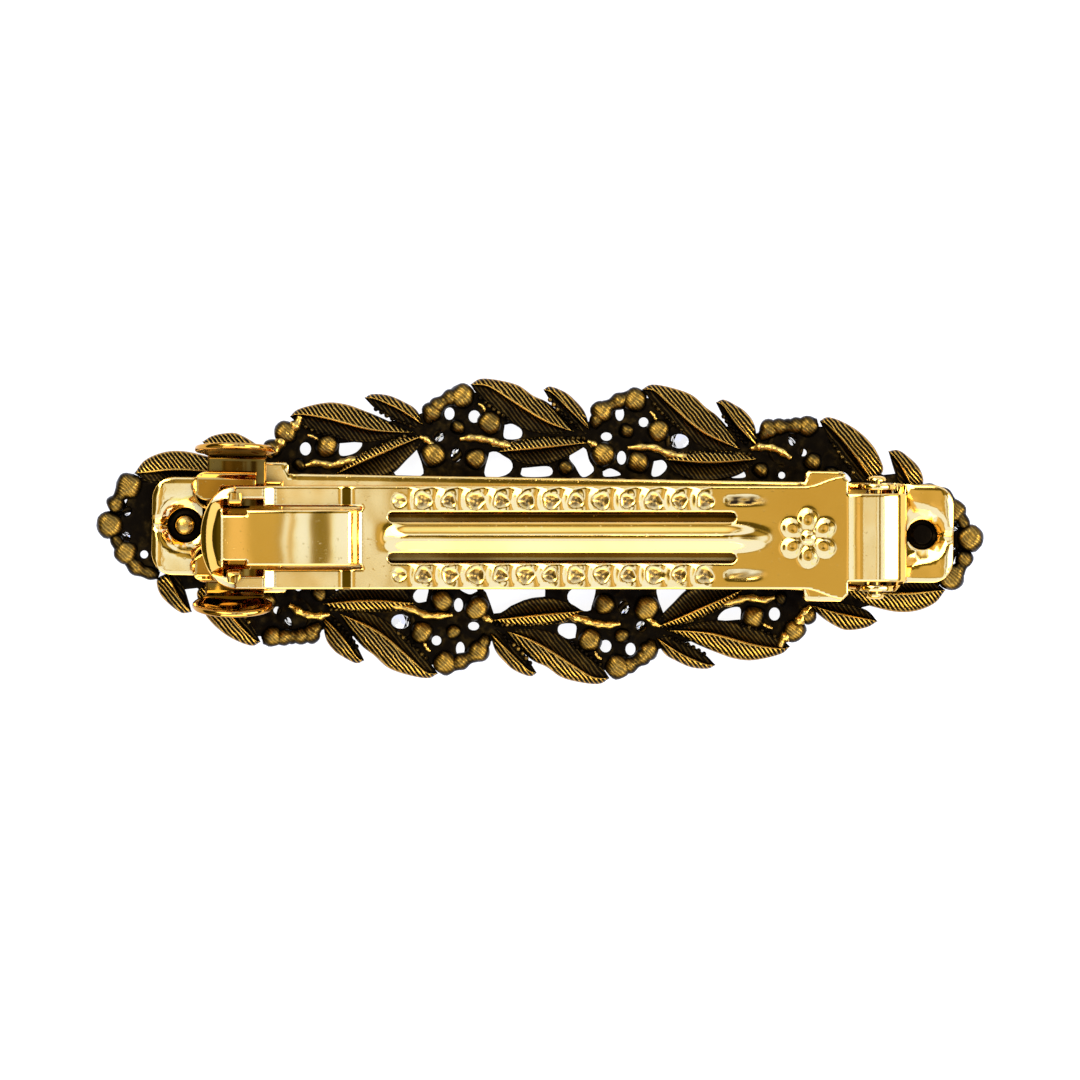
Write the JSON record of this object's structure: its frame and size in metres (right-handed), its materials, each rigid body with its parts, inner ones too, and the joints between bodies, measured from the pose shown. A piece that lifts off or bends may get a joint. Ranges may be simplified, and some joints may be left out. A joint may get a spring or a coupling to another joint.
{
  "type": "barrette",
  "caption": "Antique gold openwork leaf and berry barrette set with clear stones, on a hinged French clip with squeeze wings, a sprung arm and a tension bar.",
  "frame": {"origin": "centre of the bounding box at its lowest point, on the table facet of the middle stone", "axes": "+X along the clip to the hinge, +Y across it, +Z from the decorated front to the clip on the back"},
  "size_m": [0.0886, 0.0304, 0.015],
  "materials": {
    "antique_gold": "cast, dark patina in the recesses",
    "gold_plate": "polished gold plate",
    "spring_gold": "plated spring strip",
    "crystal_glass": "cut and polished"
  },
  "bodies": {
    "base": {"leaf_casting": "antique_gold", "base_bar": "gold_plate", "latch_plate": "gold_plate", "hinge_pin": "gold_plate", "crystal_01": "crystal_glass", "crystal_02": "crystal_glass", "crystal_03": "crystal_glass", "crystal_04": "crystal_glass", "crystal_05": "crystal_glass", "crystal_06": "crystal_glass", "crystal_07": "crystal_glass", "crystal_08": "crystal_glass", "crystal_09": "crystal_glass", "crystal_10": "crystal_glass", "crystal_11": "crystal_glass", "crystal_12": "crystal_glass", "crystal_13": "crystal_glass", "crystal_14": "crystal_glass", "crystal_15": "crystal_glass"},
    "arm": {"clasp_arm": "gold_plate", "tension_bar": "spring_gold"},
    "wing_upper": {"latch_wing_upper": "gold_plate"},
    "wing_lower": {"latch_wing_lower": "gold_plate"}
  },
  "joints": [
    {"name": "arm_hinge", "type": "hinge", "parent": "base", "child": "arm", "pos_m": [0.0332, 0, 0.00952], "axis": [0, 1, 0], "range_deg": [0, 100]},
    {"name": "wing_upper_squeeze", "type": "hinge", "parent": "base", "child": "wing_upper", "pos_m": [-0.0302, 0.00211, 0.00726], "axis": [1, 0, 0], "range_deg": [0, 8], "stiffness_Nm_per_rad": 0.05},
    {"name": "wing_lower_squeeze", "type": "hinge", "parent": "base", "child": "wing_lower", "pos_m": [-0.0302, -0.00409, 0.00726], "axis": [-1, 0, 0], "range_deg": [0, 8], "stiffness_Nm_per_rad": 0.05}
  ]
}
